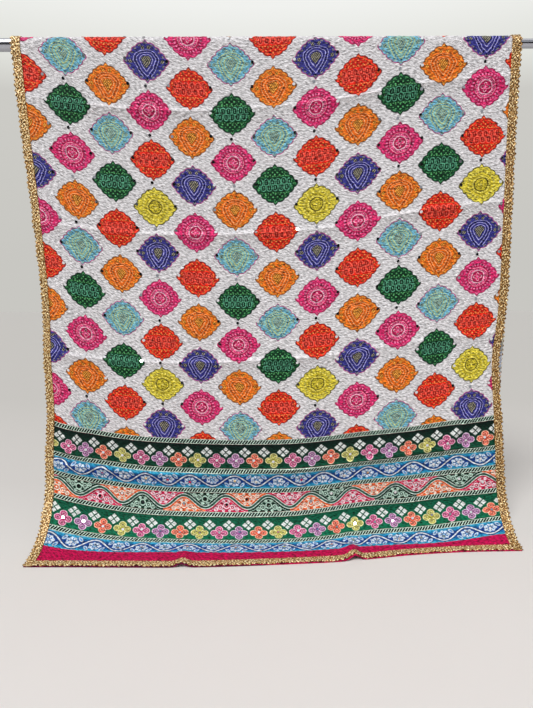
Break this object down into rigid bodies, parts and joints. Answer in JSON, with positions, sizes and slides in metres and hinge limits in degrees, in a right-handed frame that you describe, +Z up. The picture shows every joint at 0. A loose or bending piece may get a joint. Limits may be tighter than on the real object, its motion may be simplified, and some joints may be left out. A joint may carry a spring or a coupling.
{
  "type": "mirror work stole on a rod",
  "caption": "Printed crinkled cotton stole with gold lace on every edge, hung over a horizontal steel rod; the front fall sweeps forward on the ground, the back fall is shorter.",
  "frame": {"origin": "middle of the rod's axis, where the rod is held up", "axes": "+X along the rod to the right of the front, +Y from the front fall to the back fall, +Z up"},
  "size_m": [1.2, 0.1902, 0.9475],
  "materials": {
    "polished_steel": "polished",
    "printed_cotton": "matte crinkled cotton, printed",
    "gold_lace": "metallic gold thread",
    "foil_mirror": "mirror"
  },
  "bodies": {
    "root": {"rod": "polished_steel", "front_fall": "printed_cotton", "over_rod": "printed_cotton", "back_fall": "printed_cotton", "left_lace_front": "gold_lace", "left_lace_over": "gold_lace", "left_lace_back": "gold_lace", "right_lace_front": "gold_lace", "right_lace_over": "gold_lace", "right_lace_back": "gold_lace", "front_hem_lace": "gold_lace", "back_hem_lace": "gold_lace"}
  },
  "joints": []
}
